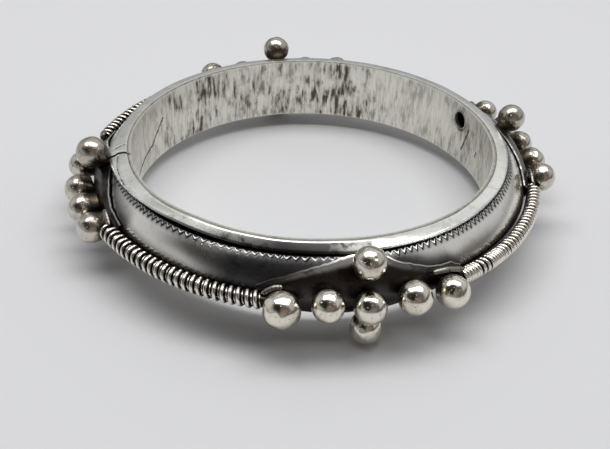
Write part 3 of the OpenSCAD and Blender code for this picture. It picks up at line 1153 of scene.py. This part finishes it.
def room_share(n, x, y, z):
    """1 inside the dark oval on the camera's side, and 0 outside it."""
    tilt = np.radians(ROOM_TILT)
    toward = n.minus(n.times(z, np.sin(tilt)), n.times(y, np.cos(tilt)))
    above = n.plus(n.times(z, np.cos(tilt)), n.times(y, np.sin(tilt)))
    wide = n.times(n.minus(x, ROOM_SHIFT), 1 / ROOM_HALF_W)
    high = n.times(n.plus(above, n.times(x, ROOM_LEAN)), 1 / ROOM_HALF_H)
    outwards = n.plus(n.times(wide, wide), n.times(high, high))
    return n.times(n.ramp(outwards, 0.5, 1.0, 1.0, 0.0), n.ramp(toward, 0.1, 0.35))


def room_colour(n, x, z):
    right = n.blend(n.ramp(x, 0.3, 0.85), ROOM_RIGHT, ROOM_FAR_RIGHT)
    right = n.blend(n.ramp(z, 0.46, 0.64), right, ROOM_HIGH)
    return n.blend(n.ramp(x, -0.22, 0.10), ROOM_LEFT, right)


def sky_colour(n, x, y, z):
    """The studio: brighter upwards and at its sides, with a window and a low strip at the back."""
    sky = n.plus(n.ramp(z, 0.0, 0.45, 0.0, 0.11), n.ramp(z, 0.46, 0.56, 0.0, 0.30))
    sky = n.plus(sky, n.ramp(z, 0.6, 0.85, 0.0, 0.08))
    sides = n.times(n.ramp(n.math("ABSOLUTE", x, 0.0), 0.45, 0.85, 0.0, 0.47), n.ramp(z, 0.0, 0.2))
    sides = n.times(sides, n.ramp(x, -0.2, 0.2, 1.4, 1.25))
    slanted = n.plus(z, n.times(x, 0.3))
    window = n.times(n.ramp(slanted, 0.45, 0.55), n.ramp(z, 0.60, 0.72, 0.95, 0.0))
    window = n.times(window, n.ramp(y, 0.45, 0.7))
    low_back = n.times(n.ramp(y, 0.85, 0.91), n.ramp(z, 0.25, 0.38, 0.0, 0.5))
    bright = n.plus(n.math("MAXIMUM", sky, sides), n.math("MAXIMUM", window, low_back))
    low_right = n.times(n.ramp(x, 0.2, 0.6), n.ramp(z, 0.08, 0.38, 1.0, 0.0))
    low_right = n.times(low_right, n.ramp(y, 0.0, 0.4, 1.0, 0.0))
    whole = n.blend(bright, SKY_DIM, SKY_BRIGHT)
    return n.blend(low_right, whole, SKY_LOW_RIGHT)


def make_world():
    """A bright studio behind and above, and a dark room on the camera's side, warmer on its right."""
    world = bpy.data.worlds.new("studio")
    bpy.context.scene.world = world
    n = Nodes(world)
    background = n.add("ShaderNodeBackground")
    n.link(background.outputs[0], n.add("ShaderNodeOutputWorld").inputs[0])
    split = n.add("ShaderNodeSeparateXYZ")
    n.link(n.places["Generated"], split.inputs[0])
    x, y, z = split.outputs
    whole = n.blend(room_share(n, x, y, z), sky_colour(n, x, y, z), room_colour(n, x, z))
    n.link(whole, background.inputs["Color"])
    background.inputs["Strength"].default_value = SKY_STRENGTH


def make_key_light():
    """A wide soft panel overhead."""
    data = bpy.data.lights.new("key", "AREA")
    data.shape = "RECTANGLE"
    data.size, data.size_y = KEY_SIZE
    data.energy = KEY_ENERGY
    light = bpy.data.objects.new("key", data)
    bpy.context.scene.collection.objects.link(light)
    light.location = KEY_AT


def make_camera():
    data = bpy.data.cameras.new("camera")
    data.sensor_fit = "HORIZONTAL"
    data.sensor_width = SENSOR_WIDTH
    data.lens = FOCAL_PIXELS / PHOTO_WIDTH * SENSOR_WIDTH
    data.clip_start = 0.01
    down, roll = np.radians(CAMERA_DOWN), np.radians(CAMERA_ROLL)
    back = np.array([0.0, -np.cos(down), np.sin(down)])
    across = np.array([1.0, 0.0, 0.0])
    upward = np.cross(back, across)
    right = np.cos(roll) * across + np.sin(roll) * upward
    top = np.cos(roll) * upward - np.sin(roll) * across
    columns = np.stack([right, top, back, np.array(CAMERA_AT) * MM], axis=1)
    camera = bpy.data.objects.new("camera", data)
    camera.matrix_world = Matrix([*columns.tolist(), (0.0, 0.0, 0.0, 1.0)])
    bpy.context.scene.collection.objects.link(camera)
    bpy.context.scene.camera = camera


make_camera()
make_inner_band()
make_upper_rim()
make_lower_rim()
make_shell(1, "upper_shell_sheet", "upper_shell", 51)
make_shell(-1, "lower_shell_sheet", "lower_shell", 61)
for number, station_name in enumerate(STATION_AZ):
    make_plate(station_name)
    make_balls(station_name, 100 + 10 * number)
make_coils()
make_floor()
make_world()
make_key_light()

bpy.context.scene.view_settings.view_transform = "Standard"
